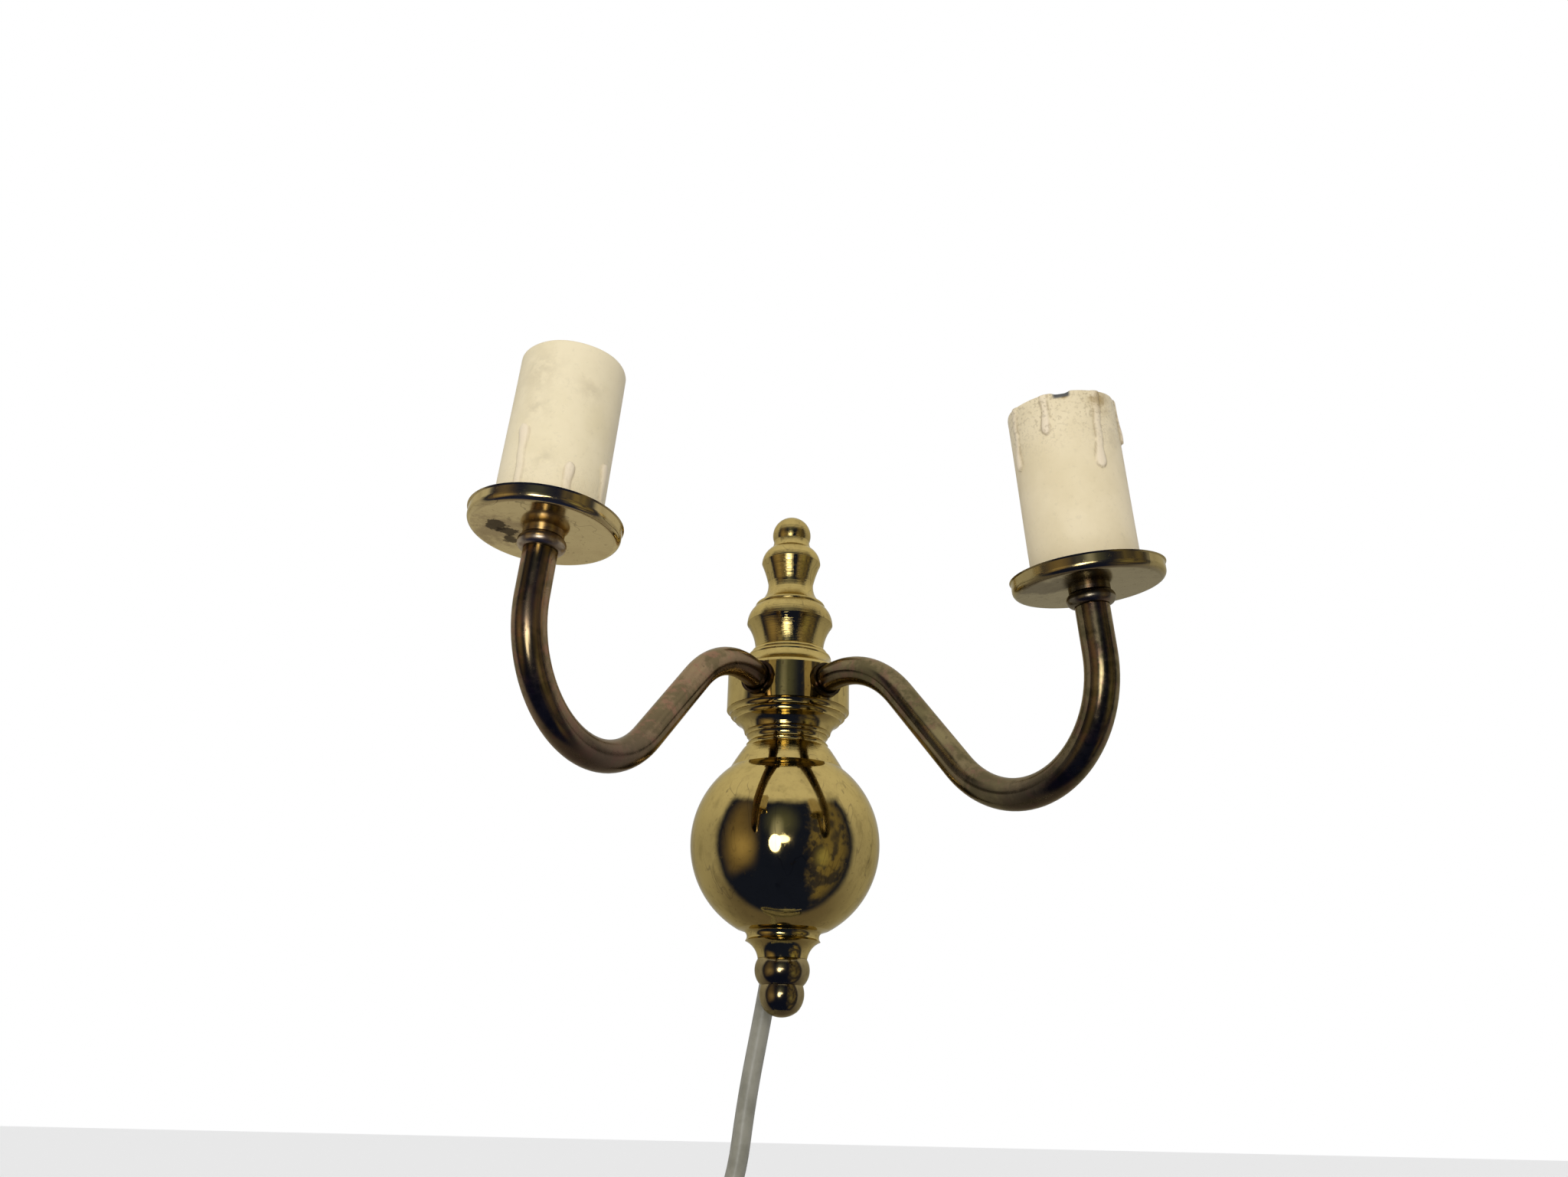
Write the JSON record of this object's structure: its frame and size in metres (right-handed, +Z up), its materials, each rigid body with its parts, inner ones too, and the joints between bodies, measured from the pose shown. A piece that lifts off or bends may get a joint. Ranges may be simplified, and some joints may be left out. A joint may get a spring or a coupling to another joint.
{
  "type": "double arm wall sconce",
  "caption": "Wall light with a turned brass body, two swept tube arms, drip pans, candle sleeves over screw lampholders, and a mains cord that leaves behind the lower finial.",
  "frame": {"origin": "the hanging point: top of the keyhole slot, on the wall plane", "axes": "+X to the right seen from the room, +Y into the wall, +Z up"},
  "size_m": [0.1712, 0.1329, 0.3133],
  "materials": {
    "polished_brass": "polished, lacquered, lightly tarnished",
    "dark_brass": "brown patina, half polished",
    "ivory_plastic": "smooth, with moulded wax drips",
    "holder_plastic": "moulded, satin",
    "contact_brass": "stamped sheet",
    "block_plastic": "moulded, satin",
    "cord_sheath": "smooth grey-olive sheath",
    "wire_jacket": "smooth",
    "tie_plastic": "satin",
    "plug_plastic": "satin, moulded",
    "pin_nickel": "nickel plated",
    "zinc_steel": "zinc plated"
  },
  "bodies": {
    "root": {"arm_nuts": "zinc_steel", "arm_washers": "zinc_steel", "ball_shell": "polished_brass", "block_screw": "zinc_steel", "coil_tie": "tie_plastic", "cord_clamp": "zinc_steel", "cord_clamp_screws": "zinc_steel", "cord_coil": "cord_sheath", "cord_tail": "cord_sheath", "drum_hub": "polished_brass", "end_finial": "polished_brass", "hanging_plate": "zinc_steel", "left_arm_tube": "dark_brass", "left_arm_wire": "wire_jacket", "left_drip_pan": "polished_brass", "left_lampholder_body": "holder_plastic", "left_lampholder_contact": "contact_brass", "left_lampholder_thread": "contact_brass", "left_root_collar": "dark_brass", "left_seat_collar": "dark_brass", "mains_cord": "cord_sheath", "plate_screws": "zinc_steel", "plug_body": "plug_plastic", "plug_pins": "pin_nickel", "right_arm_tube": "dark_brass", "right_arm_wire": "wire_jacket", "right_drip_pan": "polished_brass", "right_lampholder_body": "holder_plastic", "right_lampholder_contact": "contact_brass", "right_lampholder_thread": "contact_brass", "right_root_collar": "dark_brass", "right_seat_collar": "dark_brass", "terminal_block": "block_plastic", "terminal_screws": "zinc_steel", "terminal_sleeves": "contact_brass", "tie_rod": "zinc_steel", "tie_rod_nut": "zinc_steel", "upper_baluster": "polished_brass"},
    "left_sleeve": {"left_candle_sleeve": "ivory_plastic"},
    "right_sleeve": {"right_candle_sleeve": "ivory_plastic"}
  },
  "joints": [
    {"name": "left_sleeve_lift", "type": "slide", "parent": "root", "child": "left_sleeve", "axis": [0.0686, 0.0265, 0.9973], "range_m": [0, 0.05]},
    {"name": "right_sleeve_lift", "type": "slide", "parent": "root", "child": "right_sleeve", "axis": [-0.1185, -0.0922, 0.9887], "range_m": [0, 0.05]}
  ]
}
